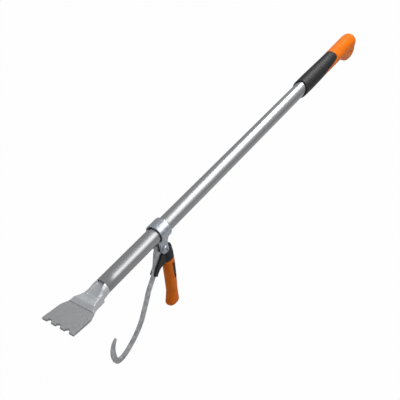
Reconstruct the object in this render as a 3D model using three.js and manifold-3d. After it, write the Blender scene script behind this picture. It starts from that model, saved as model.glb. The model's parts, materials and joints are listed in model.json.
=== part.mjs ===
// Felling lever with a swinging turning hook.
// Millimetres, +Z up. The shaft lies along X with the blade towards -X, and the hook hangs below it.
// Everything is laid out in the lever's own axes: the shaft axis is y = 0, z = 0 and the hook's
// pivot is at x = 0. The finished assembly is then moved so its box is centred on the origin.
import * as THREE from "three";
import { mergeVertices } from "three/addons/utils/BufferGeometryUtils.js";
import Module from "manifold-3d";

const wasm = await Module();
wasm.setup();

// ---- driving dimensions ----
const GAP = 0.3; // clearance kept between neighbouring pieces

const TUBE_DIAMETER = 38;
const TUBE_WALL = 2.5;
const BLADE_TO_PIVOT = 187; // from the tube's lower end to the pivot
const TUBE_LENGTH = 1120;

const BLADE_LENGTH = 134; // tooth tips to the end of the tube
const BLADE_WIDTH = 87;
const PLATE_THICKNESS = 8;
const PLATE_RISE_DEG = 8.7; // the plate climbs away from the shaft line
const PLATE_LENGTH = 67; // tooth tips to the bead
const PLATE_ROOT_HEIGHT = 4.4; // top of the plate at the bead, above the shaft axis
const BEAD_WIDTH = 2.6;
const BEAD_HEIGHT = 1.4;
const STEP_LENGTH = 11;
const STEP_HEIGHT = 5.6;
const FLAT_LENGTH = 21;
const TOOTH_COUNT = 4;
const NOTCH_RADIUS = 6.5;
const NOTCH_DEPTH = 7;
const SPIGOT_LENGTH = 50;
const BLADE_PIN_DIAMETER = 8;
const BLADE_PIN_INSET = 24; // from the tube's end

const COLLAR_LENGTH = 36;
const COLLAR_FRONT = 12; // from the pivot to the collar's lower rim
const COLLAR_WALL = 3.2;
const LINER_WALL = 1.6;
const LINER_TAB = [4, 5, 1.4]; // length, width, height
const SET_SCREW_DIAMETER = 8;

const PIVOT_DROP = 48; // pivot below the shaft axis
const EAR_GAP = 15;
const EAR_THICKNESS = 6.5;
const EAR_RADIUS = 12;
const BOLT_DIAMETER = 10;
const BOLT_HEAD_DIAMETER = 20.5;
const BOLT_HEAD_HEIGHT = 4.2;
const BOLT_SOCKET = 9; // corner to corner of the hexagon recess
const NUT_WIDTH = 17; // across flats
const NUT_HEIGHT = 8;
const WASHER_THICKNESS = 1.6;
const BUSH_WALL = 2;

const HOOK_THICKNESS = 6.5;
const HOOK_WIDTH = 13;
const HOOK_EYE_RADIUS = 13.5;

const GRIP_BELOW_PIVOT = 10; // start of the hook grip's full thickness
const GRIP_LENGTH = 179;
const GRIP_HEAD_LENGTH = 38; // black head above the coloured sleeve
const TONGUE_THICKNESS = 14; // plastic between the ears
const BRANCH_THICKNESS = 15; // plastic round the hook's arm
const CORE_INSET = 4; // sleeve thickness over the core
const TANG_LENGTH = 130; // steel tang inside the grip, below the pivot
const TANG_WIDTH = 8;
const PANEL_SIZE = [9, 50, 1.5]; // width, height, thickness of the blank side panels
const PANEL_PLACE = [18.5, 12]; // middle in X, and top edge below the start of the sleeve

const HANDLE_START = 649; // from the pivot to the soft grip's rim
const SOFT_GRIP_LENGTH = 197;
const SOFT_GRIP_WALL = 3.3;
const SOFT_GRIP_SWELL = 1.3; // extra radius towards the rim
const RIM_SLANT = 0.5; // the rim leans back by this share of its height
const RIM_MIDDLE = 6; // the rim's middle, from the grip's start
const POMMEL_DROP = 55; // lowest point of the pommel, below the shaft axis
const POMMEL_LENGTH = 140;
const HANG_HOLE_RADIUS = 4;
const HANDLE_SCREW_DIAMETER = 5;
const HANDLE_SCREW_HEAD_HEIGHT = 3;
const HANDLE_SCREW_INSET = 50; // from the soft grip's end
const HANDLE_SCREW_LEDGE = 1.4; // plastic between the screw's head and the tube

const ROUND = 40; // facets round a full circle
const FINE_ROUND = 72; // and round the shaft and what surrounds it

// ---- values worked out from them ----
const tubeRadius = TUBE_DIAMETER / 2;
const tubeBore = tubeRadius - TUBE_WALL;
const tubeStart = -BLADE_TO_PIVOT;
const tubeEnd = tubeStart + TUBE_LENGTH;
const tipX = tubeStart - BLADE_LENGTH;
const beadX = tipX + PLATE_LENGTH;
const stepX = beadX + STEP_LENGTH;
const foldX = stepX + FLAT_LENGTH;
const plateSlope = Math.tan(THREE.MathUtils.degToRad(PLATE_RISE_DEG));
const tipHeight = PLATE_ROOT_HEIGHT + PLATE_LENGTH * plateSlope;
const stepHeight = PLATE_ROOT_HEIGHT + STEP_HEIGHT;
const foldHeight = stepHeight - FLAT_LENGTH * 0.22;
const neckWidth = 2 * tubeRadius;
const linerInner = tubeRadius + GAP;
const linerOuter = linerInner + LINER_WALL;
const collarBore = linerOuter + GAP;
const collarRadius = collarBore + COLLAR_WALL;
const collarEnd = COLLAR_LENGTH - COLLAR_FRONT;
const earInner = EAR_GAP / 2;
const earOuter = earInner + EAR_THICKNESS;
const boltRadius = BOLT_DIAMETER / 2;
const bushOuter = boltRadius + GAP + BUSH_WALL;
const bushHalf = earInner - GAP;
const hookHalf = HOOK_THICKNESS / 2;
const gripTop = PIVOT_DROP + GRIP_BELOW_PIVOT; // all three below the shaft axis
const gripSplit = gripTop + GRIP_HEAD_LENGTH;
const gripBottom = gripTop + GRIP_LENGTH;
const softStart = HANDLE_START;
const softEnd = softStart + SOFT_GRIP_LENGTH;
const softRadius = tubeRadius + GAP + SOFT_GRIP_WALL;
const pommelEnd = softEnd + POMMEL_LENGTH;

// ---- solids ----

// A closed three.js geometry as a manifold solid.
function solid(geometry) {
  const bare = geometry.clone();
  bare.deleteAttribute("normal");
  bare.deleteAttribute("uv");
  const merged = mergeVertices(bare, 1e-4);
  return new wasm.Manifold(
    new wasm.Mesh({
      numProp: 3,
      vertProperties: new Float32Array(merged.attributes.position.array),
      triVerts: new Uint32Array(merged.index.array),
    }),
  );
}

// A manifold solid back as a three.js geometry.
function geometryOf(body) {
  const mesh = body.getMesh();
  const geometry = new THREE.BufferGeometry();
  geometry.setAttribute("position", new THREE.BufferAttribute(mesh.vertProperties, 3));
  geometry.setIndex(new THREE.BufferAttribute(mesh.triVerts, 1));
  return geometry;
}

function joined(bodies) {
  return bodies.reduce((sum, body) => sum.add(body));
}

// A solid turned about its axis and lying along X, from [x, radius] points given from low to high x.
function turnedX(points, segments = ROUND) {
  const profile = points.map(([x, r]) => new THREE.Vector2(r, x));
  const geometry = new THREE.LatheGeometry(profile, segments);
  geometry.rotateZ(-Math.PI / 2);
  return solid(geometry);
}

function rodX(radius, from, to, segments = ROUND) {
  return turnedX([[from, 0], [from, radius], [to, radius], [to, 0]], segments);
}

// A rod along Y, centred on (x, z).
function rodY(radius, x, z, from, to, segments = ROUND) {
  const geometry = new THREE.CylinderGeometry(radius, radius, to - from, segments);
  geometry.translate(x, (from + to) / 2, z);
  return solid(geometry);
}

// A rod along Z, centred on (x, y).
function rodZ(radius, x, y, from, to, segments = ROUND) {
  const geometry = new THREE.CylinderGeometry(radius, radius, to - from, segments);
  geometry.rotateX(Math.PI / 2);
  geometry.translate(x, y, (from + to) / 2);
  return solid(geometry);
}

// A side outline in X and Z, given a thickness from low to high Y.
function sideSlab(shape, low, high, curveSegments = 8) {
  const geometry = new THREE.ExtrudeGeometry(shape, {
    depth: high - low,
    bevelEnabled: false,
    curveSegments,
  });
  geometry.rotateX(Math.PI / 2);
  geometry.translate(0, high, 0);
  return solid(geometry);
}

function outline(points) {
  return new THREE.Shape(points.map(([x, y]) => new THREE.Vector2(x, y)));
}

// A body lofted along one axis through sections of rounded-rectangle shape.
// Each section is { at, width, low, high, square }: width is the half width in Y, low and high
// bound the other direction, and square runs from 2 (an ellipse) upwards (squarer corners).
function loft(sections, alongZ = false, sides = 40) {
  const geometry = new THREE.CylinderGeometry(1, 1, 1, sides, sections.length - 1);
  const position = geometry.attributes.position;
  for (let i = 0; i < position.count; i++) {
    const level = Math.round((0.5 - position.getY(i)) * (sections.length - 1));
    const section = sections[level];
    const reach = Math.hypot(position.getX(i), position.getZ(i));
    const angle = Math.atan2(position.getZ(i), position.getX(i));
    const power = 2 / section.square;
    const across = Math.sign(Math.cos(angle)) * Math.abs(Math.cos(angle)) ** power;
    const upright = Math.sign(Math.sin(angle)) * Math.abs(Math.sin(angle)) ** power;
    const middle = (section.low + section.high) / 2;
    const half = (section.high - section.low) / 2;
    const y = reach * across * section.width;
    const other = middle + reach * upright * half;
    if (alongZ) position.setXYZ(i, other, y, section.at);
    else position.setXYZ(i, section.at, y, other);
  }
  let body = solid(geometry);
  if (body.volume() < 0) {
    const index = geometry.index.array;
    for (let i = 0; i < index.length; i += 3) [index[i], index[i + 1]] = [index[i + 1], index[i]];
    body = solid(geometry);
  }
  return body;
}

const assembly = new THREE.Group();
const lever = new THREE.Group();
assembly.add(lever);

// Adds a finished piece as its own named mesh.
function piece(name, body, color, roughness, metalness) {
  const material = new THREE.MeshStandardMaterial({ color, roughness, metalness });
  const mesh = new THREE.Mesh(geometryOf(body), material);
  mesh.name = name;
  lever.add(mesh);
}

const castSteel = [0x9a9ea0, 0.7, 0.8];
const satinSteel = [0xb4b6b8, 0.35, 0.9];
const zincSteel = [0xc8cacc, 0.3, 0.95];
const blackPlastic = [0x1b1c1f, 0.55, 0];
const blackRubber = [0x18191b, 0.7, 0];
const orangePlastic = [0xd4600f, 0.5, 0];

// ---- blade ----

// Plan outline of the blade: half widths from the tooth tips back to the round neck.
function bladePlan() {
  const half = BLADE_WIDTH / 2;
  const neck = neckWidth / 2;
  const edge = [
    [tipX + 16, half * 0.985],
    [tipX + PLATE_LENGTH * 0.72, half * 0.95],
    [tipX + PLATE_LENGTH * 0.88, half * 0.86],
    [beadX, half * 0.78],
    [stepX, half * 0.65],
    [(stepX + foldX) / 2, half * 0.54],
    [foldX, neck + 2],
    [foldX + 14, neck],
  ];
  const shape = new THREE.Shape();
  shape.moveTo(tipX, -half);
  const pitch = BLADE_WIDTH / (TOOTH_COUNT - 0.5);
  for (let i = 0; i < TOOTH_COUNT - 1; i++) {
    const y = (i - (TOOTH_COUNT - 2) / 2) * pitch;
    shape.lineTo(tipX, y - NOTCH_RADIUS);
    shape.bezierCurveTo(
      tipX + NOTCH_DEPTH * 1.33, y - NOTCH_RADIUS,
      tipX + NOTCH_DEPTH * 1.33, y + NOTCH_RADIUS,
      tipX, y + NOTCH_RADIUS,
    );
  }
  shape.lineTo(tipX, half);
  shape.splineThru(edge.map(([x, y]) => new THREE.Vector2(x, y)));
  shape.lineTo(foldX + 14, -neck);
  shape.splineThru(edge.slice(0, -1).reverse().map(([x, y]) => new THREE.Vector2(x, -y)));
  shape.lineTo(tipX, -half);
  return shape;
}

// Side outline of the flat part: rough plate, bead, step and upper flat, with the heel below.
function bladeSide() {
  return outline([
    [tipX - 1, tipHeight + plateSlope],
    [beadX, PLATE_ROOT_HEIGHT],
    [beadX, PLATE_ROOT_HEIGHT + BEAD_HEIGHT],
    [beadX + BEAD_WIDTH, PLATE_ROOT_HEIGHT + BEAD_HEIGHT],
    [stepX, stepHeight],
    [foldX, foldHeight],
    [foldX + 14, foldHeight],
    [foldX + 14, -tubeRadius + 1],
    [foldX - 4, -tubeRadius + 4],
    [beadX + 6, PLATE_ROOT_HEIGHT - PLATE_THICKNESS - 1],
    [tipX - 1, tipHeight + plateSlope - PLATE_THICKNESS * 0.8],
  ]);
}

const flatPart = solid(
  new THREE.ExtrudeGeometry(bladePlan(), { depth: 80, bevelEnabled: false, curveSegments: 5 })
    .translate(0, 0, -40),
).intersect(sideSlab(bladeSide(), -BLADE_WIDTH, BLADE_WIDTH));

const neckLength = tubeStart - foldX;
const neckPart = loft([
  { at: foldX - 10, width: tubeRadius + 4.5, low: -tubeRadius + 5, high: foldHeight + 1.5, square: 4 },
  { at: foldX, width: tubeRadius + 1.6, low: -tubeRadius + 2.5, high: foldHeight + 2.5, square: 3.4 },
  { at: foldX + neckLength * 0.3, width: tubeRadius + 0.6, low: -tubeRadius + 0.8, high: 12, square: 2.8 },
  { at: foldX + neckLength * 0.6, width: tubeRadius + 0.6, low: -tubeRadius - 0.4, high: 17.4, square: 2.3 },
  { at: tubeStart - 6, width: tubeRadius + 0.6, low: -tubeRadius - 0.6, high: tubeRadius + 0.6, square: 2 },
  { at: tubeStart - GAP, width: tubeRadius, low: -tubeRadius, high: tubeRadius, square: 2 },
]);
const spigot = rodX(tubeBore - GAP, tubeStart - 4, tubeStart + SPIGOT_LENGTH);

// The scoop behind the upper flat: its floor climbs from the fold into the mouth of the tube.
const scoop = loft([
  { at: foldX - 0.5, width: tubeRadius - 2.6, low: foldHeight - 0.2, high: 60, square: 5 },
  { at: foldX + neckLength * 0.45, width: tubeRadius - 5, low: foldHeight + 2.6, high: 56, square: 4 },
  { at: tubeStart - 8, width: tubeRadius - 8, low: foldHeight + 4.4, high: 46, square: 3.4 },
  { at: tubeStart - GAP, width: tubeRadius - 9.5, low: foldHeight + 5, high: 30, square: 3 },
], false, 24);
const mouth = loft([
  { at: tubeStart - 2, width: tubeRadius - 9.5, low: foldHeight + 5, high: tubeRadius + 2, square: 3 },
  { at: tubeStart + 10, width: tubeRadius - 11.5, low: foldHeight + 6, high: tubeRadius, square: 3 },
], false, 24);

const bladePinX = tubeStart + BLADE_PIN_INSET;
const bladePinRadius = BLADE_PIN_DIAMETER / 2;
const bladePinTop = -2;
const bladePinHole = rodZ(bladePinRadius + GAP, bladePinX, 0, -tubeRadius - 5, bladePinTop + GAP, 20);
const blade = joined([flatPart, neckPart, spigot]).subtract(scoop).subtract(mouth)
  .subtract(bladePinHole);
piece("blade", blade, ...castSteel);

const bladePin = rodZ(bladePinRadius, bladePinX, 0, -tubeRadius - 0.8, bladePinTop, 20)
  .subtract(rodZ(bladePinRadius - 1.5, bladePinX, 0, -tubeRadius - 2, bladePinTop - 3, 20));
piece("blade_spring_pin", bladePin, ...satinSteel);

// ---- shaft ----
const handleScrewX = softEnd + HANDLE_SCREW_INSET;
const handleScrewRadius = HANDLE_SCREW_DIAMETER / 2;
const setScrewX = (collarEnd - COLLAR_FRONT) / 2;
const setScrewRadius = SET_SCREW_DIAMETER / 2;
const screwReach = 1; // how far the set screw's point sinks into the tube wall
const tube = rodX(tubeRadius, tubeStart, tubeEnd, FINE_ROUND)
  .subtract(rodX(tubeBore, tubeStart - 1, tubeEnd + 1, FINE_ROUND))
  .subtract(bladePinHole)
  .subtract(rodY(setScrewRadius * 0.6 + GAP, setScrewX, 0, tubeRadius - screwReach - GAP, tubeRadius + 2, 16))
  .subtract(rodZ(handleScrewRadius + GAP, handleScrewX, 0, -tubeRadius - 2, 0, 16));
piece("shaft_tube", tube, ...satinSteel);

// ---- collar with its two ears ----

function earShape() {
  const shape = new THREE.Shape();
  shape.moveTo(-EAR_RADIUS, -tubeRadius / 2);
  shape.lineTo(-EAR_RADIUS, -PIVOT_DROP);
  shape.absarc(0, -PIVOT_DROP, EAR_RADIUS, Math.PI, 2 * Math.PI, false);
  shape.lineTo(EAR_RADIUS, -PIVOT_DROP + EAR_RADIUS);
  shape.quadraticCurveTo(EAR_RADIUS + 1, -collarRadius - 2, collarEnd, -collarRadius + 5);
  shape.lineTo(collarEnd, -tubeRadius / 2);
  return shape;
}

const setScrewHole = rodY(setScrewRadius + GAP, setScrewX, 0, tubeRadius, collarRadius + 4, 20);
const boltHole = rodY(boltRadius + GAP, 0, -PIVOT_DROP, -earOuter - 1, earOuter + 1);
const collar = joined([
  turnedX([
    [-COLLAR_FRONT, 0],
    [-COLLAR_FRONT, collarRadius - 0.8],
    [-COLLAR_FRONT + 0.8, collarRadius],
    [collarEnd - 3, collarRadius],
    [collarEnd, collarRadius - 1.8],
    [collarEnd, 0],
  ], FINE_ROUND),
  sideSlab(earShape(), -earOuter, -earInner, 10),
  sideSlab(earShape(), earInner, earOuter, 10),
])
  .subtract(rodX(collarBore, -COLLAR_FRONT - 1, collarEnd + 1, FINE_ROUND))
  .subtract(boltHole)
  .subtract(setScrewHole);
piece("collar", collar, ...zincSteel);

const tabAngle = THREE.MathUtils.degToRad(62); // up from the +Y side
const tab = solid(
  new THREE.BoxGeometry(LINER_TAB[0] + 4, LINER_TAB[1], LINER_TAB[2])
    .translate(-COLLAR_FRONT + 2 - LINER_TAB[0] / 2, 0, linerInner + LINER_TAB[2] / 2 + 0.1)
    .rotateX(tabAngle - Math.PI / 2),
);
const linerBody = rodX(linerOuter, -COLLAR_FRONT + 1, collarEnd - 1, FINE_ROUND)
  .add(tab)
  .subtract(rodX(linerInner, -COLLAR_FRONT - 10, collarEnd + 1, FINE_ROUND))
  .subtract(rodY(setScrewRadius + GAP, setScrewX, 0, 0, collarRadius + 4, 20));
piece("collar_liner", linerBody, ...blackPlastic);

const setScrew = joined([
  rodY(setScrewRadius, setScrewX, 0, tubeRadius + 1, collarRadius + 1, 20),
  rodY(setScrewRadius * 0.6, setScrewX, 0, tubeRadius - screwReach, tubeRadius + 2, 16),
]).subtract(rodY(setScrewRadius * 0.55, setScrewX, 0, collarRadius - 3, collarRadius + 2, 6));
piece("collar_set_screw", setScrew, ...satinSteel);

// ---- pivot ----
const headIn = -earOuter - GAP;
const nutWasherOut = earOuter + GAP + WASHER_THICKNESS;
const nutIn = nutWasherOut + GAP;
const boltEnd = nutIn + NUT_HEIGHT + 2;
const headDome = turnedX([
  [0, 0],
  [0, BOLT_HEAD_DIAMETER / 2],
  [BOLT_HEAD_HEIGHT * 0.3, BOLT_HEAD_DIAMETER / 2],
  [BOLT_HEAD_HEIGHT * 0.75, BOLT_HEAD_DIAMETER * 0.42],
  [BOLT_HEAD_HEIGHT, BOLT_HEAD_DIAMETER * 0.32],
  [BOLT_HEAD_HEIGHT, 0],
]).rotate([0, 0, -90]).translate([0, headIn, -PIVOT_DROP]);
const bolt = joined([
  headDome,
  rodY(boltRadius, 0, -PIVOT_DROP, headIn - 0.5, boltEnd),
]).subtract(rodY(BOLT_SOCKET / 2, 0, -PIVOT_DROP, headIn - BOLT_HEAD_HEIGHT - 1, headIn - 0.8, 6));
piece("pivot_bolt", bolt, ...zincSteel);

const nutRadius = NUT_WIDTH / Math.sqrt(3);
const nut = rodY(nutRadius, 0, -PIVOT_DROP, nutIn, nutIn + NUT_HEIGHT, 6)
  .subtract(rodY(boltRadius + GAP, 0, -PIVOT_DROP, nutIn - 1, nutIn + NUT_HEIGHT + 1, 24));
piece("pivot_lock_nut", nut, ...zincSteel);

const nutWasher = rodY(BOLT_HEAD_DIAMETER / 2, 0, -PIVOT_DROP, earOuter + GAP, nutWasherOut)
  .subtract(rodY(boltRadius + GAP, 0, -PIVOT_DROP, earOuter, nutWasherOut + 1));
piece("pivot_nut_washer", nutWasher, ...zincSteel);

const bush = rodY(bushOuter, 0, -PIVOT_DROP, -bushHalf, bushHalf)
  .subtract(rodY(boltRadius + GAP, 0, -PIVOT_DROP, -bushHalf - 1, bushHalf + 1));
piece("pivot_bush", bush, ...satinSteel);

for (const [name, side] of [["pivot_spacer_near", -1], ["pivot_spacer_far", 1]]) {
  const faces = [side * (hookHalf + GAP), side * bushHalf].sort((a, b) => a - b);
  const spacer = rodY(EAR_RADIUS, 0, -PIVOT_DROP, faces[0], faces[1])
    .subtract(rodY(bushOuter + GAP, 0, -PIVOT_DROP, faces[0] - 1, faces[1] + 1));
  piece(name, spacer, ...blackPlastic);
}

// ---- hook ----

// The hook's middle line, as [x, z] from the pivot, from the eye to the claw's tip.
const hookLine = [
  [-22, -33], [-41, -57], [-66, -84], [-80, -105], [-95, -126], [-110, -146], [-129, -163],
  [-150, -176], [-173, -186], [-194, -190], [-209, -184], [-214, -166], [-213, -146],
  [-207, -130], [-195, -117],
];

// The flat bar's outline: half the bar's width either side of the middle line, sharp at the claw.
function hookOutline(spread) {
  const line = new THREE.CatmullRomCurve3(hookLine.map(([x, z]) => new THREE.Vector3(x, z, 0)));
  const count = 64;
  const left = [];
  const right = [];
  for (let i = 0; i <= count; i++) {
    const share = i / count;
    const at = line.getPointAt(share);
    const along = line.getTangentAt(share);
    const claw = Math.min(1, (1 - share) / 0.13);
    const half = (HOOK_WIDTH / 2) * (0.06 + 0.94 * Math.sqrt(claw)) + spread;
    left.push([at.x - along.y * half, at.y + along.x * half - PIVOT_DROP]);
    right.push([at.x + along.y * half, at.y - along.x * half - PIVOT_DROP]);
  }
  return outline([...left, ...right.reverse()]);
}

// The head plate joins the eye, the arm and the tang inside the grip.
function headPlate(spread) {
  const drop = (z) => z - PIVOT_DROP;
  const shape = new THREE.Shape();
  shape.moveTo(-20 - spread, drop(8));
  shape.lineTo(-25 - spread, drop(0));
  shape.lineTo(-34 - spread, drop(-28));
  shape.lineTo(-46 - spread, drop(-55));
  shape.lineTo(-36, drop(-62 - spread));
  shape.lineTo(-22, drop(-44 - spread));
  shape.lineTo(6 - spread, drop(-44 - spread));
  shape.lineTo(6 - spread, drop(-TANG_LENGTH - spread));
  shape.lineTo(6 + TANG_WIDTH + spread, drop(-TANG_LENGTH - spread));
  shape.lineTo(18 + spread, drop(-50));
  shape.lineTo(14 + spread, drop(0));
  shape.lineTo(8, drop(11 + spread));
  shape.lineTo(-12, drop(12 + spread));
  return shape;
}

function hookSteel(spread) {
  const half = hookHalf + spread;
  return joined([
    sideSlab(hookOutline(spread), -half, half),
    sideSlab(headPlate(spread), -half, half),
    rodY(HOOK_EYE_RADIUS + spread, 0, -PIVOT_DROP, -half, half),
  ]);
}

const hook = hookSteel(0)
  .subtract(rodY(bushOuter + GAP, 0, -PIVOT_DROP, -hookHalf - 1, hookHalf + 1));

// ---- hook grip ----

// Half depth, half thickness and middle of the pistol grip, from the top down.
const gripStations = [
  { down: 0, depth: 15.5, thick: 11, middle: 15 },
  { down: 0.12, depth: 16, thick: 13, middle: 16 },
  { down: 0.32, depth: 15.5, thick: 13.8, middle: 15 },
  { down: 0.55, depth: 14.8, thick: 13.6, middle: 12 },
  { down: 0.78, depth: 14, thick: 13.2, middle: 8 },
  { down: 0.9, depth: 16.5, thick: 14, middle: 4.5 },
  { down: 0.96, depth: 18.5, thick: 14.6, middle: 2.5 },
  { down: 0.985, depth: 18, thick: 14, middle: 2.2 },
  { down: 1, depth: 15.5, thick: 11.5, middle: 2.4 },
];

function gripLoft(inset, from, to) {
  const sections = gripStations.map(({ down, depth, thick, middle }) => ({
    at: -gripTop - down * GRIP_LENGTH,
    width: thick - inset,
    low: middle - depth + inset,
    high: middle + depth - inset,
    square: 2.4,
  }));
  const band = solid(
    new THREE.BoxGeometry(200, 100, to - from).translate(0, 0, -(from + to) / 2),
  );
  return loft(sections, true, 44).intersect(band);
}

// The branch of black plastic that wraps the hook's arm below the pivot.
function branchShape() {
  const drop = (z) => z - PIVOT_DROP;
  const shape = new THREE.Shape();
  shape.moveTo(-8, drop(-16));
  shape.lineTo(-27, drop(-34));
  shape.lineTo(-46, drop(-53));
  shape.lineTo(-36, drop(-63));
  shape.quadraticCurveTo(-22, drop(-44), -6, GAP - gripSplit);
  shape.lineTo(18, GAP - gripSplit);
  shape.lineTo(22, drop(-14));
  return shape;
}

// The thin tongue that runs up between the ears behind the pivot.
function tongueShape() {
  const drop = (z) => z - PIVOT_DROP;
  const shape = new THREE.Shape();
  shape.moveTo(4, drop(-12));
  shape.lineTo(8, drop(2));
  shape.lineTo(19, drop(2));
  shape.quadraticCurveTo(25, drop(0), 26, drop(-8));
  shape.lineTo(28, drop(-30));
  shape.lineTo(4, drop(-30));
  return shape;
}

const pivotRoom = rodY(HOOK_EYE_RADIUS + 1.5, 0, -PIVOT_DROP, -40, 40);
const coreBottom = gripBottom - CORE_INSET - 4;
const hookRoom = hookSteel(GAP);
const core = joined([
  sideSlab(branchShape(), -BRANCH_THICKNESS / 2, BRANCH_THICKNESS / 2),
  sideSlab(tongueShape(), -TONGUE_THICKNESS / 2, TONGUE_THICKNESS / 2),
  gripLoft(0, gripTop, gripSplit - GAP),
  gripLoft(CORE_INSET + GAP, gripSplit - 2, coreBottom),
]).subtract(pivotRoom).subtract(hookRoom);
let sleeve = gripLoft(0, gripSplit, gripBottom + 1)
  .subtract(gripLoft(CORE_INSET, gripTop, coreBottom + GAP));

// The blank side panels are let into the sleeve and follow its surface.
const [panelWidth, panelHeight, panelThickness] = PANEL_SIZE;
const panelMiddle = gripSplit + PANEL_PLACE[1] + panelHeight / 2;
function panelBlock(side, spread) {
  return solid(
    new THREE.BoxGeometry(panelWidth + 2 * spread, 40, panelHeight + 2 * spread)
      .translate(PANEL_PLACE[0], side * 20, -panelMiddle),
  );
}
const panels = [["grip_panel_near", -1], ["grip_panel_far", 1]].map(([name, side]) => {
  const pocket = panelBlock(side, GAP).subtract(gripLoft(panelThickness + GAP, gripTop, gripBottom));
  sleeve = sleeve.subtract(pocket);
  const skin = gripLoft(0, gripTop, gripBottom).subtract(
    gripLoft(panelThickness, gripTop, gripBottom),
  );
  return { name, body: skin.intersect(panelBlock(side, 0)) };
});

piece("hook", hook, ...zincSteel);
piece("grip_core", core, ...blackPlastic);
piece("grip_sleeve", sleeve, ...orangePlastic);
for (const { name, body } of panels) piece(name, body, ...blackPlastic);

// ---- top handle ----

// The soft grip is cut away underneath towards the pommel, where the handle body shows.
// The cut's line is given as [x from the soft grip's end, z], from below to above.
const cutLine = [
  [-118, -softRadius + 1.5], [-84, -9], [-66, -3.5], [-41, 0.5], [-15, 4.6], [-4, 7.5], [-0.8, 11], [0, 16],
];

function bodyCut(spread) {
  const line = cutLine.map(([x, z]) => [softEnd + x - spread, z + spread]);
  return sideSlab(
    outline([
      [line[0][0], -60],
      ...line,
      [softEnd - spread, 60],
      [pommelEnd + 40, 60],
      [pommelEnd + 40, -60],
    ]),
    -60,
    60,
  );
}

const softBlank = turnedX([
  [softStart - 10, 0],
  [softStart - 10, softRadius - 1],
  [softStart + 2, softRadius + SOFT_GRIP_SWELL * 0.3],
  [softStart + 14, softRadius + SOFT_GRIP_SWELL * 0.8],
  [softStart + 34, softRadius + SOFT_GRIP_SWELL],
  [softStart + 66, softRadius + SOFT_GRIP_SWELL],
  [softStart + 110, softRadius + SOFT_GRIP_SWELL * 0.55],
  [softStart + 160, softRadius + SOFT_GRIP_SWELL * 0.1],
  [softEnd - 10, softRadius],
  [softEnd + 1, softRadius],
  [softEnd + 1, 0],
], FINE_ROUND).subtract(sideSlab(
  outline([
    [softStart - 40, -60],
    [softStart + RIM_MIDDLE - 60 * RIM_SLANT, -60],
    [softStart + RIM_MIDDLE + 60 * RIM_SLANT, 60],
    [softStart - 40, 60],
  ]),
  -60,
  60,
));
const tubeRoom = rodX(tubeRadius + GAP, softStart - 20, tubeEnd + GAP, FINE_ROUND);
const softGrip = softBlank.subtract(tubeRoom).subtract(bodyCut(GAP));
piece("handle_soft_grip", softGrip, ...blackRubber);

// The pommel is the grip's round body with a domed end, and a flatter lobe hanging below it.
const pommelRound = turnedX([
  [softEnd, 0],
  [softEnd, softRadius],
  [softEnd + POMMEL_LENGTH * 0.43, softRadius + 0.5],
  [softEnd + POMMEL_LENGTH * 0.75, softRadius + 0.9],
  [softEnd + POMMEL_LENGTH * 0.83, softRadius],
  [softEnd + POMMEL_LENGTH * 0.88, softRadius * 0.88],
  [softEnd + POMMEL_LENGTH * 0.925, softRadius * 0.68],
  [softEnd + POMMEL_LENGTH * 0.95, softRadius * 0.42],
  [softEnd + POMMEL_LENGTH * 0.965, 0],
], FINE_ROUND);
const lobeStations = [
  { along: 0.29, half: 18, high: 4, drop: 0.36 },
  { along: 0.345, half: 19.5, high: 6, drop: 0.46 },
  { along: 0.45, half: 19, high: 6, drop: 0.68 },
  { along: 0.545, half: 18.2, high: 6, drop: 0.87 },
  { along: 0.61, half: 17.6, high: 6, drop: 0.95 },
  { along: 0.69, half: 17, high: 6, drop: 0.995 },
  { along: 0.755, half: 16.7, high: 6, drop: 1 },
  { along: 0.82, half: 16.4, high: 6, drop: 0.965 },
  { along: 0.87, half: 15.8, high: 5, drop: 0.9 },
  { along: 0.915, half: 14.6, high: 4, drop: 0.79 },
  { along: 0.95, half: 12.8, high: 2, drop: 0.66 },
  { along: 0.975, half: 10.4, high: -1, drop: 0.54 },
  { along: 0.99, half: 7.5, high: -5, drop: 0.44 },
  { along: 1, half: 4, high: -9, drop: 0.34 },
];
const pommelLobe = loft(lobeStations.map(({ along, half, high, drop }) => ({
  at: softEnd + along * POMMEL_LENGTH,
  width: half,
  high,
  low: -POMMEL_DROP * drop,
  square: 2.3,
})), false, 48);
const pommel = pommelRound.add(pommelLobe);
const handleBlank = turnedX([
  [softEnd - 130, 0],
  [softEnd - 130, softRadius],
  [softEnd + 0.5, softRadius],
  [softEnd + 0.5, 0],
], FINE_ROUND).intersect(bodyCut(0));
const hangHole = rodY(HANG_HOLE_RADIUS, softEnd + 0.74 * POMMEL_LENGTH, -POMMEL_DROP / 2, -40, 40, 24);
const screwHeadRadius = handleScrewRadius * 1.9;
const screwHeadTop = -tubeRadius - 2 * GAP - HANDLE_SCREW_LEDGE;
const screwHeadBottom = screwHeadTop - HANDLE_SCREW_HEAD_HEIGHT;
const handleBody = handleBlank.add(pommel)
  .subtract(tubeRoom)
  .subtract(hangHole)
  .subtract(rodZ(screwHeadRadius + GAP, handleScrewX, 0, -POMMEL_DROP, screwHeadTop + GAP, 20))
  .subtract(rodZ(handleScrewRadius + GAP, handleScrewX, 0, screwHeadTop - 1, 0, 16));
piece("handle_body", handleBody, ...orangePlastic);

const handleScrew = joined([
  rodZ(screwHeadRadius, handleScrewX, 0, screwHeadBottom, screwHeadTop, 20),
  rodZ(handleScrewRadius, handleScrewX, 0, screwHeadTop - 1, -tubeBore + 3, 16),
]).subtract(rodZ(handleScrewRadius * 0.8, handleScrewX, 0, screwHeadBottom - 1, screwHeadBottom + 2, 6));
piece("handle_screw", handleScrew, ...satinSteel);

// ---- place the assembly ----
assembly.updateMatrixWorld(true);
const box = new THREE.Box3().setFromObject(lever);
lever.position.copy(box.getCenter(new THREE.Vector3())).negate();

export default assembly;
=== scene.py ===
import json
import math

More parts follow.
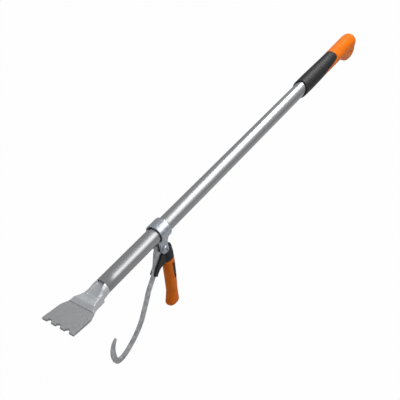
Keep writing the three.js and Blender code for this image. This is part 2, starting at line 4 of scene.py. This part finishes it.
import bmesh
import bpy
from mathutils import Euler, Matrix, Quaternion, Vector


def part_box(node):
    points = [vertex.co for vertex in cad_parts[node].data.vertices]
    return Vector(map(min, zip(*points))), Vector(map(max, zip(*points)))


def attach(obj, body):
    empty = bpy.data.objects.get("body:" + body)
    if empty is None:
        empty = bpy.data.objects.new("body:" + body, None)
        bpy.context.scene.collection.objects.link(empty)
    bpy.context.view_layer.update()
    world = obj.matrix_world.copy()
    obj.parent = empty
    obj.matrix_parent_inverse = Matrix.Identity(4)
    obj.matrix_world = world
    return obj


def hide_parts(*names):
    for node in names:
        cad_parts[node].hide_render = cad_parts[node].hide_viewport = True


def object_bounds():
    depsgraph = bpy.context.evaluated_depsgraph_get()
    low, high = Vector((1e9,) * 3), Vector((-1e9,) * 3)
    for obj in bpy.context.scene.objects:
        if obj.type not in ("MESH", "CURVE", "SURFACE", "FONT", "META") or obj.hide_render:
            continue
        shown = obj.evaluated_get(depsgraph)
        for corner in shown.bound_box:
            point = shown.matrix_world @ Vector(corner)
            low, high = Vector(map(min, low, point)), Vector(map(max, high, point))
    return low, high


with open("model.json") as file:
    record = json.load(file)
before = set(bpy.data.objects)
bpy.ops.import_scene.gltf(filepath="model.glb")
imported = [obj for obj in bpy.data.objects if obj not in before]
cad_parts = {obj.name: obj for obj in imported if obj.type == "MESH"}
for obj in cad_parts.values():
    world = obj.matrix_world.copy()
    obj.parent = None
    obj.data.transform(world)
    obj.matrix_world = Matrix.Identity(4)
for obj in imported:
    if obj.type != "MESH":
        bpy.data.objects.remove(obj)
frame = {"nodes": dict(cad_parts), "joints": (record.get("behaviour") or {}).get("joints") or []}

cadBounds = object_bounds()
mm = 0.001

# The lever's own axes: the pivot is at x = 0 and the shaft's axis at y = 0, z = 0, in millimetres.
pivot = Vector(frame["joints"][0]["pos_m"])
tubeLow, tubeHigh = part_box("shaft_tube")
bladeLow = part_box("blade")[0]
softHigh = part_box("handle_soft_grip")[1]
shaftHeight = (tubeLow.z + tubeHigh.z) / 2
leverOrigin = Vector((pivot.x, 0, shaftHeight))


def leverPoint(x, y, z):
    return leverOrigin + Vector((x, y, z)) * mm


# ---- camera, light and floor ----
cameraSettings = {
    "fromPivot": (-0.798, -0.8216, 1.0908),
    "azimuth": 220.53,  # where the camera stands, seen from the tool
    "elevation": 40.37,
    "roll": -8.38,
    "lens": 61.87,
    "shift": 0.00125,
}


def makeCamera():
    data = bpy.data.cameras.new("studioCamera")
    data.sensor_width = 36
    data.lens = cameraSettings["lens"]
    data.shift_x = -cameraSettings["shift"]
    data.shift_y = cameraSettings["shift"]
    data.clip_end = 50
    camera = bpy.data.objects.new("studioCamera", data)
    bpy.context.scene.collection.objects.link(camera)
    turn = Euler((
        math.pi / 2 - math.radians(cameraSettings["elevation"]),
        0,
        math.radians(cameraSettings["azimuth"]) + math.pi / 2,
    )).to_quaternion()
    roll = Quaternion((0, 0, 1), math.radians(cameraSettings["roll"]))
    camera.rotation_mode = "QUATERNION"
    camera.rotation_quaternion = turn @ roll
    camera.location = pivot + Vector(cameraSettings["fromPivot"])
    bpy.context.scene.camera = camera


# Each strip softbox: its two ends from the lever's origin in millimetres, its width and power.
lampSettings = {
    "lowStrip": {"ends": ((250, -1240, 775), (1000, -350, 865)), "width": 0.7, "power": 5.0},
    "highStrip": {"ends": ((1000, -350, 865), (1550, 300, 930)), "width": 0.5, "power": 9.4},
}
lampTarget = (250, 0, 0)


def makeLamps():
    for name, lamp in lampSettings.items():
        first, last = [leverPoint(*end) for end in lamp["ends"]]
        data = bpy.data.lights.new(name, "AREA")
        data.shape = "RECTANGLE"
        data.size = (last - first).length
        data.size_y = lamp["width"]
        data.energy = lamp["power"]
        light = bpy.data.objects.new(name, data)
        bpy.context.scene.collection.objects.link(light)
        light.location = (first + last) / 2
        light.visible_camera = False
        along = (last - first).normalized()
        back = light.location - leverPoint(*lampTarget)
        back = (back - along * back.dot(along)).normalized()
        light.rotation_mode = "QUATERNION"
        axes = Matrix((along, back.cross(along), back)).transposed()
        light.rotation_quaternion = axes.to_quaternion()


# ---- material helpers ----
def linearColor(code):
    parts = [int(code[i:i + 2], 16) / 255 for i in (1, 3, 5)]
    return [p / 12.92 if p <= 0.04045 else ((p + 0.055) / 1.055) ** 2.4 for p in parts] + [1]


# Adds a node; an input is given a value or, if it is a socket, a link.
def addNode(tree, kind, inputs=None, **settings):
    node = tree.nodes.new(kind)
    for name, value in settings.items():
        setattr(node, name, value)
    for name, value in (inputs or {}).items():
        if isinstance(value, bpy.types.NodeSocket):
            tree.links.new(value, node.inputs[name])
        else:
            node.inputs[name].default_value = value
    return node


def startMaterial(name, roughness, metallic=0.0):
    material = bpy.data.materials.new(name)
    material.use_nodes = True
    tree = material.node_tree
    shader = tree.nodes["Principled BSDF"]
    shader.inputs["Roughness"].default_value = roughness
    shader.inputs["Metallic"].default_value = metallic
    place = addNode(tree, "ShaderNodeTexCoord").outputs["Object"]
    return material, tree, shader, place


# Random grain whose size is given in millimetres, stretched by a share along each axis.
def grain(tree, place, size, detail=2.0, stretch=(1, 1, 1)):
    scaled = addNode(tree, "ShaderNodeMapping", {
        "Vector": place, "Scale": [1 / s for s in stretch],
    })
    return addNode(tree, "ShaderNodeTexNoise", {
        "Vector": scaled.outputs["Vector"], "Scale": 1 / (size * mm), "Detail": detail,
    }).outputs["Fac"]


def twoTone(tree, share, dark, light, low=0.35, high=0.65):
    ramp = addNode(tree, "ShaderNodeValToRGB", {"Fac": share})
    ramp.color_ramp.elements[0].position = low
    ramp.color_ramp.elements[1].position = high
    ramp.color_ramp.elements[0].color = linearColor(dark)
    ramp.color_ramp.elements[1].color = linearColor(light)
    return ramp.outputs["Color"]


def spread(tree, share, low, high):
    return addNode(tree, "ShaderNodeMapRange", {
        "Value": share, "From Min": 0.3, "From Max": 0.7, "To Min": low, "To Max": high,
    }).outputs["Result"]


def addBump(tree, shader, height, depth, strength=1.0):
    bump = addNode(tree, "ShaderNodeBump", {
        "Height": height, "Distance": depth * mm, "Strength": strength,
    })
    tree.links.new(bump.outputs["Normal"], shader.inputs["Normal"])


# ---- materials ----
# Shot-blasted cast steel: a dull, even grey with fine sandy grain on the toothed plate,
# and a smoother, brighter surface from the bead back to the neck.
def makeCastSteel(beadPlace):
    material, tree, shader, place = startMaterial("shotBlastedCastSteel", 0.6, 0.75)
    fine = grain(tree, place, 0.9, 3)
    broad = grain(tree, place, 7, 2)
    rough = twoTone(tree, fine, "#a2a3a4", "#d2d3d4")
    smooth = twoTone(tree, broad, "#dcdee0", "#e8eaec")
    along = addNode(tree, "ShaderNodeSeparateXYZ", {"Vector": place}).outputs["X"]
    back = addNode(tree, "ShaderNodeMapRange", {
        "Value": along, "From Min": beadPlace, "From Max": beadPlace + 2 * mm,
    }).outputs["Result"]
    color = addNode(tree, "ShaderNodeMix", {0: back, 6: rough, 7: smooth}, data_type="RGBA")
    tree.links.new(color.outputs[2], shader.inputs["Base Color"])
    dullness = addNode(tree, "ShaderNodeMapRange", {"Value": back, "To Min": 0.68, "To Max": 0.4})
    tree.links.new(dullness.outputs["Result"], shader.inputs["Roughness"])
    depth = addNode(tree, "ShaderNodeMapRange", {"Value": back, "To Min": 1.0, "To Max": 0.25})
    height = addNode(tree, "ShaderNodeMath", {
        0: fine, 1: depth.outputs["Result"],
    }, operation="MULTIPLY")
    addBump(tree, shader, height.outputs[0], 0.5)
    return material


# Drawn aluminium tube: satin and nearly even, its shine varying slightly along the die's lines.
def makeDrawnTube():
    material, tree, shader, place = startMaterial("drawnAluminiumTube", 0.3, 1.0)
    lines = grain(tree, place, 0.7, 2, (60, 1, 1))
    mottle = grain(tree, place, 18, 2, (4, 1, 1))
    tree.links.new(twoTone(tree, mottle, "#b0b1b2", "#b4b5b6"), shader.inputs["Base Color"])
    tree.links.new(spread(tree, lines, 0.335, 0.35), shader.inputs["Roughness"])
    return material


# Zinc-plated pressed steel: slightly blue, with a soft cloudy variation in its shine.
def makeZincPlate():
    material, tree, shader, place = startMaterial("zincPlatedSteel", 0.3, 1.0)
    cloud = grain(tree, place, 5, 3)
    tree.links.new(twoTone(tree, cloud, "#b4bac2", "#ced3da"), shader.inputs["Base Color"])
    tree.links.new(spread(tree, cloud, 0.25, 0.38), shader.inputs["Roughness"])
    addBump(tree, shader, grain(tree, place, 0.8), 0.03)
    return material


# Forged and tumbled bar: satin grey with a fine scale and a few darker patches.
def makeForgedBar():
    material, tree, shader, place = startMaterial("tumbledForgedSteel", 0.4, 0.9)
    scale = grain(tree, place, 0.8, 3)
    patches = grain(tree, place, 12, 3)
    tree.links.new(twoTone(tree, patches, "#b4b5b7", "#dfe0e1"), shader.inputs["Base Color"])
    tree.links.new(spread(tree, scale, 0.34, 0.5), shader.inputs["Roughness"])
    addBump(tree, shader, scale, 0.12)
    return material


# Turned and ground steel pins and screws: fine and even.
def makeGroundSteel():
    material, tree, shader, place = startMaterial("groundSteel", 0.32, 1.0)
    fine = grain(tree, place, 0.5)
    tree.links.new(twoTone(tree, fine, "#b0b2b4", "#c6c8ca"), shader.inputs["Base Color"])
    addBump(tree, shader, fine, 0.02)
    return material


# Glass-filled nylon from a spark-eroded mould: near black with a fine, even texture.
def makeBlackNylon():
    material, tree, shader, place = startMaterial("mouldedBlackNylon", 0.42)
    shader.inputs["Specular IOR Level"].default_value = 0.4
    texture = grain(tree, place, 0.6, 2)
    tree.links.new(twoTone(tree, texture, "#141518", "#1f2024"), shader.inputs["Base Color"])
    tree.links.new(spread(tree, texture, 0.38, 0.5), shader.inputs["Roughness"])
    addBump(tree, shader, texture, 0.08)
    return material


# Orange nylon from the same kind of mould: satin, very slightly uneven in depth of colour.
def makeOrangeNylon():
    material, tree, shader, place = startMaterial("mouldedOrangeNylon", 0.4)
    shader.inputs["Specular IOR Level"].default_value = 0.18
    cloud = grain(tree, place, 14, 2)
    texture = grain(tree, place, 0.6, 2)
    tree.links.new(twoTone(tree, cloud, "#ea6f02", "#f27a06"), shader.inputs["Base Color"])
    tree.links.new(spread(tree, texture, 0.36, 0.46), shader.inputs["Roughness"])
    addBump(tree, shader, texture, 0.06)
    return material


# Soft thermoplastic rubber: black, matte, with a broad soft shine.
def makeSoftRubber():
    material, tree, shader, place = startMaterial("softGripRubber", 0.45)
    texture = grain(tree, place, 0.7, 2)
    tree.links.new(twoTone(tree, texture, "#0f0f10", "#161617"), shader.inputs["Base Color"])
    addBump(tree, shader, texture, 0.06)
    return material


plateLength = 67  # from the tooth tips to the bead, in millimetres
beadPlace = bladeLow.x + plateLength * mm
castSteel = makeCastSteel(beadPlace)
drawnTube = makeDrawnTube()
zincPlate = makeZincPlate()
forgedBar = makeForgedBar()
groundSteel = makeGroundSteel()
blackNylon = makeBlackNylon()
orangeNylon = makeOrangeNylon()
softRubber = makeSoftRubber()
print("materials made")


# ---- mesh helpers ----
def newObject(name, mesh):
    piece = bpy.data.objects.new(name, mesh)
    bpy.context.scene.collection.objects.link(piece)
    return piece


# Replaces an object's mesh with what its modifiers make of it.
def bakeModifiers(piece):
    bpy.context.view_layer.update()
    depsgraph = bpy.context.evaluated_depsgraph_get()
    baked = bpy.data.meshes.new_from_object(piece.evaluated_get(depsgraph))
    piece.modifiers.clear()
    piece.data = baked
    piece.data.name = piece.name
    return piece


def dress(piece, material, body, node):
    piece.data.materials.clear()
    piece.data.materials.append(material)
    for face in piece.data.polygons:
        face.use_smooth = True
    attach(piece, body)
    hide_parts(node)
    return piece


# A copy of a CAD piece rebuilt on a fine grid, with its edges eased over by smoothing.
def easedCopy(node, name, grid, rounds):
    mesh = frame["nodes"][node].data.copy()
    editor = bmesh.new()
    editor.from_mesh(mesh)
    bmesh.ops.remove_doubles(editor, verts=editor.verts, dist=0.01 * mm)
    editor.to_mesh(mesh)
    editor.free()
    piece = newObject(name, mesh)
    remesh = piece.modifiers.new("fineGrid", "REMESH")
    remesh.mode = "VOXEL"
    remesh.voxel_size = grid * mm
    remesh.adaptivity = 0
    smooth = piece.modifiers.new("easedEdges", "SMOOTH")
    smooth.factor = 0.5
    smooth.iterations = rounds
    return bakeModifiers(piece)


# A closed ring of faces turned about the shaft's axis, from a closed [x, radius] outline.
# limit gives the furthest x for a direction round the axis, and trims the turned shape there.
def turnedShell(name, outline, segments, limit=None):
    editor = bmesh.new()
    rings = []
    for step in range(segments):
        angle = 2 * math.pi * step / segments
        ring = []
        for x, radius in outline:
            if limit:
                low, high = limit(radius * math.sin(angle))
                x = min(max(x, low), high)
            ring.append(editor.verts.new(leverPoint(
                x, radius * math.cos(angle), radius * math.sin(angle),
            )))
        rings.append(ring)
    count = len(outline)
    for step in range(segments):
        here, there = rings[step], rings[(step + 1) % segments]
        for i in range(count):
            j = (i + 1) % count
            editor.faces.new((here[i], here[j], there[j], there[i]))
    bmesh.ops.remove_doubles(editor, verts=editor.verts, dist=0.002 * mm)
    bmesh.ops.recalc_face_normals(editor, faces=editor.faces)
    mesh = bpy.data.meshes.new(name)
    editor.to_mesh(mesh)
    editor.free()
    return newObject(name, mesh)


# ---- pieces rebuilt from the CAD with eased edges ----
easedPieces = {
    "bladeCasting": {
        "node": "blade", "grid": 0.75, "rounds": 5,
        "material": castSteel, "slot": "cast_steel", "body": "lever",
    },
    "collarClamp": {
        "node": "collar", "grid": 0.65, "rounds": 5,
        "material": zincPlate, "slot": "zinc_steel", "body": "lever",
    },
    "pivotBoltSteel": {
        "node": "pivot_bolt", "grid": 0.35, "rounds": 4,
        "material": zincPlate, "slot": "zinc_steel", "body": "lever",
    },
    "pivotNutSteel": {
        "node": "pivot_lock_nut", "grid": 0.35, "rounds": 4,
        "material": zincPlate, "slot": "zinc_steel", "body": "lever",
    },
    "turningHookBar": {
        "node": "hook", "grid": 0.6, "rounds": 4,
        "material": forgedBar, "slot": "hook_steel", "body": "turning_hook",
    },
    "hookGripHead": {
        "node": "grip_core", "grid": 0.8, "rounds": 8,
        "material": blackNylon, "slot": "black_plastic", "body": "turning_hook",
    },
    "hookGripSleeve": {
        "node": "grip_sleeve", "grid": 0.8, "rounds": 8,
        "material": orangeNylon, "slot": "orange_plastic", "body": "turning_hook",
    },
    "hookGripPanelNear": {
        "node": "grip_panel_near", "grid": 0.35, "rounds": 3,
        "material": blackNylon, "slot": "black_plastic", "body": "turning_hook",
    },
    "hookGripPanelFar": {
        "node": "grip_panel_far", "grid": 0.35, "rounds": 3,
        "material": blackNylon, "slot": "black_plastic", "body": "turning_hook",
    },
    "handlePommel": {
        "node": "handle_body", "grid": 0.8, "rounds": 14,
        "material": orangeNylon, "slot": "orange_plastic", "body": "lever",
    },
}
for pieceName, make in easedPieces.items():
    eased = easedCopy(make["node"], pieceName, make["grid"], make["rounds"])
    dress(eased, make["material"], make["body"], make["node"])
    print("made", pieceName)

# ---- shaft tube ----
tubeSettings = {
    "segments": 160,
    "stations": 40,  # along the tube
    "wall": 2.5,
    "edgeEase": 0.4,
    "pinInset": 24,  # from the tube's end
    "pinHole": 4.3,  # radius
    "pinHoleSegments": 48,
    "cutterDepth": 12,
}


def makeShaftTube():
    radius = (tubeHigh.y - tubeLow.y) / 2 / mm
    bore = radius - tubeSettings["wall"]
    ease = tubeSettings["edgeEase"]
    start = (tubeLow.x - leverOrigin.x) / mm
    end = (tubeHigh.x - leverOrigin.x) / mm
    count = tubeSettings["stations"]
    stations = [start + ease + (end - start - 2 * ease) * i / count for i in range(count + 1)]
    outline = [(start, bore + ease), (start, radius - ease)]
    outline += [(x, radius) for x in stations]
    outline += [(end, radius - ease), (end, bore + ease)]
    outline += [(x, bore) for x in reversed(stations)]
    tube = turnedShell("shaftTube", outline, tubeSettings["segments"])

    # The hole for the blade's pin, in the wall underneath.
    cutter = bmesh.new()
    bmesh.ops.create_cone(
        cutter, cap_ends=True, segments=tubeSettings["pinHoleSegments"],
        depth=tubeSettings["cutterDepth"] * mm,
        radius1=tubeSettings["pinHole"] * mm, radius2=tubeSettings["pinHole"] * mm,
    )
    holePlace = leverPoint(start + tubeSettings["pinInset"], 0, -radius)
    bmesh.ops.translate(cutter, vec=holePlace, verts=cutter.verts)
    cutterMesh = bpy.data.meshes.new("pinCutter")
    cutter.to_mesh(cutterMesh)
    cutter.free()
    cutterObject = newObject("pinCutter", cutterMesh)
    cut = tube.modifiers.new("pinHole", "BOOLEAN")
    cut.operation = "DIFFERENCE"
    cut.object = cutterObject
    bakeModifiers(tube)
    bpy.data.objects.remove(cutterObject)
    return dress(tube, drawnTube, "lever", "shaft_tube")


makeShaftTube()
print("made the shaft tube")

# ---- soft grip ----
gripSettings = {
    "segments": 120,
    "ribPitch": 4.0,
    "ribDepth": 0.45,
    "ribsFrom": 22,  # from the grip's start
    "ribsTo": 165,
    "ribSharpness": 1.6,  # above 1 makes the grooves narrower than the ribs
    "stepsPerRib": 8,
    "outsideFrom": 1.5,  # over the tube's radius; the bore below it gets no ribs
    "lead": 12,  # extra length before the rim is trimmed
    "boreGap": 0.3,
    "lipRadius": 1.2,
    "rimMiddle": 6,
    "rimSlant": 0.5,
    # [x from the start, radius over the tube]
    "profile": [
        (-10, 2.3), (2, 3.7), (14, 4.35), (34, 4.6), (66, 4.6), (110, 4.0), (160, 3.45), (197, 3.3),
    ],
    # [x from the end, height over the shaft's axis] of the line where the orange body begins
    "cutLine": [
        (-118, -21.1), (-84, -9), (-66, -3.5), (-41, 0.5), (-15, 4.6), (-4, 7.5), (-0.8, 11), (0, 16),
    ],
}


def between(points, value):
    if value <= points[0][0]:
        return points[0][1]
    for (x0, y0), (x1, y1) in zip(points, points[1:]):
        if value <= x1:
            return y0 + (y1 - y0) * (value - x0) / (x1 - x0)
    return points[-1][1]


# Shallow grooves round the grip, cut to a cosine's shape between two places along it.
def addRibs(piece, radius, start):
    tree = bpy.data.node_groups.new("gripRibs", "GeometryNodeTree")
    sizes = {
        "ribPitch": gripSettings["ribPitch"] * mm,
        "ribDepth": gripSettings["ribDepth"] * mm,
        "ribsFrom": leverPoint(start + gripSettings["ribsFrom"], 0, 0).x,
        "ribsTo": leverPoint(start + gripSettings["ribsTo"], 0, 0).x,
        "shaftHeight": shaftHeight,
        "outsideFrom": (radius + gripSettings["outsideFrom"]) * mm,
    }
    tree.interface.new_socket("Geometry", in_out="INPUT", socket_type="NodeSocketGeometry")
    for name in sizes:
        tree.interface.new_socket(name, in_out="INPUT", socket_type="NodeSocketFloat")
    tree.interface.new_socket("finish", in_out="INPUT", socket_type="NodeSocketMaterial")
    tree.interface.new_socket("Geometry", in_out="OUTPUT", socket_type="NodeSocketGeometry")
    given = tree.nodes.new("NodeGroupInput").outputs

    def combine(kind, a, b=0.0):
        return addNode(tree, "ShaderNodeMath", {0: a, 1: b}, operation=kind).outputs[0]

    place = addNode(tree, "GeometryNodeInputPosition").outputs[0]
    parts = addNode(tree, "ShaderNodeSeparateXYZ", {0: place}).outputs
    rise = combine("SUBTRACT", parts["Z"], given["shaftHeight"])
    across = combine("MULTIPLY", parts["Y"], parts["Y"])
    reach = combine("SQRT", combine("ADD", across, combine("MULTIPLY", rise, rise)))
    fromFirst = combine("SUBTRACT", parts["X"], given["ribsFrom"])
    turns = combine("DIVIDE", fromFirst, given["ribPitch"])
    wave = combine("COSINE", combine("MULTIPLY", turns, 2 * math.pi))
    raised = combine("MULTIPLY", combine("ADD", wave, 1.0), 0.5)
    groove = combine("POWER", raised, gripSettings["ribSharpness"])
    afterStart = combine("GREATER_THAN", parts["X"], given["ribsFrom"])
    beforeEnd = combine("LESS_THAN", parts["X"], given["ribsTo"])
    outside = combine("GREATER_THAN", reach, given["outsideFrom"])
    inside = combine("MULTIPLY", combine("MULTIPLY", afterStart, beforeEnd), outside)
    depth = combine("MULTIPLY", combine("MULTIPLY", groove, given["ribDepth"]), inside)
    share = combine("DIVIDE", combine("MULTIPLY", depth, -1.0), reach)
    offset = addNode(tree, "ShaderNodeCombineXYZ", {
        "Y": combine("MULTIPLY", parts["Y"], share), "Z": combine("MULTIPLY", rise, share),
    }).outputs[0]
    moved = addNode(tree, "GeometryNodeSetPosition", {
        "Geometry": given["Geometry"], "Offset": offset,
    })
    real = addNode(tree, "GeometryNodeRealizeInstances", {"Geometry": moved.outputs[0]})
    finished = addNode(tree, "GeometryNodeSetMaterial", {
        "Geometry": real.outputs[0], "Material": given["finish"],
    })
    addNode(tree, "NodeGroupOutput", {"Geometry": finished.outputs[0]})

    ribs = piece.modifiers.new("gripRibs", "NODES")
    ribs.node_group = tree
    for socket in tree.interface.items_tree:
        if socket.in_out == "INPUT" and socket.name in sizes:
            ribs[socket.identifier] = sizes[socket.name]
        elif socket.in_out == "INPUT" and socket.name == "finish":
            ribs[socket.identifier] = softRubber
    return bakeModifiers(piece)


def makeSoftGrip():
    tubeRadius = (tubeHigh.y - tubeLow.y) / 2 / mm
    end = (softHigh.x - leverOrigin.x) / mm
    start = end - gripSettings["profile"][-1][0]
    bore = tubeRadius + gripSettings["boreGap"]
    lead = gripSettings["lead"]
    steps = gripSettings["stepsPerRib"]
    count = int((end - start + lead) / (gripSettings["ribPitch"] / steps))
    outside = []
    for i in range(count + 1):
        x = start - lead + (end - start + lead) * i / count
        outside.append((x, tubeRadius + between(gripSettings["profile"], x - start)))
    inside = [(x, bore) for x, _ in reversed(outside[::steps])]
    lip = gripSettings["lipRadius"]

    # How far the grip runs at a height over the axis: the leaning rim, and the cut line.
    def reachAt(height):
        low = start + gripSettings["rimMiddle"] + height * gripSettings["rimSlant"]
        swapped = [(z, x) for x, z in gripSettings["cutLine"]]
        return low, end + between(swapped, height)

    grip = turnedShell("softGripSleeve", outside + inside, gripSettings["segments"], reachAt)

    # The rim's outer edge is rounded over.
    for vertex in grip.data.vertices:
        place = (vertex.co - leverOrigin) / mm
        reach = math.hypot(place.y, place.z)
        fromRim = place.x - reachAt(place.z)[0]
        if reach > bore + 0.5 and fromRim < lip:
            drop = lip - math.sqrt(max(0, lip * lip - (lip - fromRim) ** 2))
            vertex.co.y *= 1 - drop / reach
            vertex.co.z = leverOrigin.z + (vertex.co.z - leverOrigin.z) * (1 - drop / reach)
    addRibs(grip, tubeRadius, start)
    return dress(grip, softRubber, "lever", "handle_soft_grip")


makeSoftGrip()
print("made the soft grip")

# ---- small CAD pieces that keep their shape ----
keptPieces = {
    "blade_spring_pin": groundSteel,
    "collar_liner": blackNylon,
    "collar_set_screw": groundSteel,
    "pivot_nut_washer": zincPlate,
    "pivot_bush": groundSteel,
    "pivot_spacer_near": blackNylon,
    "pivot_spacer_far": blackNylon,
    "handle_screw": groundSteel,
}
for node, material in keptPieces.items():
    kept = frame["nodes"][node]
    for slotIndex in range(len(kept.material_slots)):
        kept.material_slots[slotIndex].material = material
    if not kept.material_slots:
        kept.data.materials.append(material)

# ---- floor and background ----
# seenLift and glossyLift are the shares of plain white that the camera and reflections get.
# drop leaves room for the hook at its lowest.
floorSettings = {
    "size": 12, "drop": 0.12, "color": "#c4c4c4", "roughness": 0.9,
    "seenLift": 0.985, "glossyLift": 0.1,
}
roomSettings = {"color": (0.55, 0.56, 0.58, 1), "strength": 0.68}


# The share of plain white: nearly all of it for the camera, a little in reflections.
def whiteShare(tree):
    rays = addNode(tree, "ShaderNodeLightPath").outputs
    bounced = addNode(tree, "ShaderNodeMath", {
        0: rays["Is Glossy Ray"], 1: rays["Is Transmission Ray"],
    }, operation="MAXIMUM")
    dimmed = addNode(tree, "ShaderNodeMath", {
        0: bounced.outputs[0], 1: floorSettings["glossyLift"],
    }, operation="MULTIPLY")
    seen = addNode(tree, "ShaderNodeMath", {
        0: rays["Is Camera Ray"], 1: floorSettings["seenLift"],
    }, operation="MULTIPLY")
    return addNode(tree, "ShaderNodeMath", {
        0: seen.outputs[0], 1: dimmed.outputs[0],
    }, operation="MAXIMUM").outputs[0]


def makeFloor():
    half = floorSettings["size"] / 2
    height = cadBounds[0].z - floorSettings["drop"]
    mesh = bpy.data.meshes.new("studioFloor")
    corners = [(-half, -half), (half, -half), (half, half), (-half, half)]
    mesh.from_pydata([(x, y, height) for x, y in corners], [], [(0, 1, 2, 3)])
    floor = newObject("studioFloor", mesh)
    material = bpy.data.materials.new("paleFloorPaint")
    material.use_nodes = True
    tree = material.node_tree
    shader = tree.nodes["Principled BSDF"]
    shader.inputs["Base Color"].default_value = linearColor(floorSettings["color"])
    shader.inputs["Roughness"].default_value = floorSettings["roughness"]
    white = addNode(tree, "ShaderNodeEmission", {"Strength": 1.0})
    mixed = addNode(tree, "ShaderNodeMixShader", {
        0: whiteShare(tree), 1: shader.outputs[0], 2: white.outputs[0],
    })
    tree.links.new(mixed.outputs[0], tree.nodes["Material Output"].inputs["Surface"])
    floor.data.materials.append(material)


# The room is a soft grey for lighting and white where it is seen.
def makeWorld():
    world = bpy.data.worlds.new("studioRoom")
    bpy.context.scene.world = world
    world.use_nodes = True
    tree = world.node_tree
    room = tree.nodes["Background"]
    room.inputs["Color"].default_value = roomSettings["color"]
    room.inputs["Strength"].default_value = roomSettings["strength"]
    white = addNode(tree, "ShaderNodeBackground", {"Color": (1, 1, 1, 1), "Strength": 1.0})
    mixed = addNode(tree, "ShaderNodeMixShader", {
        0: whiteShare(tree), 1: room.outputs[0], 2: white.outputs[0],
    })
    tree.links.new(mixed.outputs[0], tree.nodes["World Output"].inputs["Surface"])


makeCamera()
makeLamps()
makeFloor()
makeWorld()
bpy.context.scene.view_settings.view_transform = "Standard"
print("stage set")

bpy.context.view_layer.update()
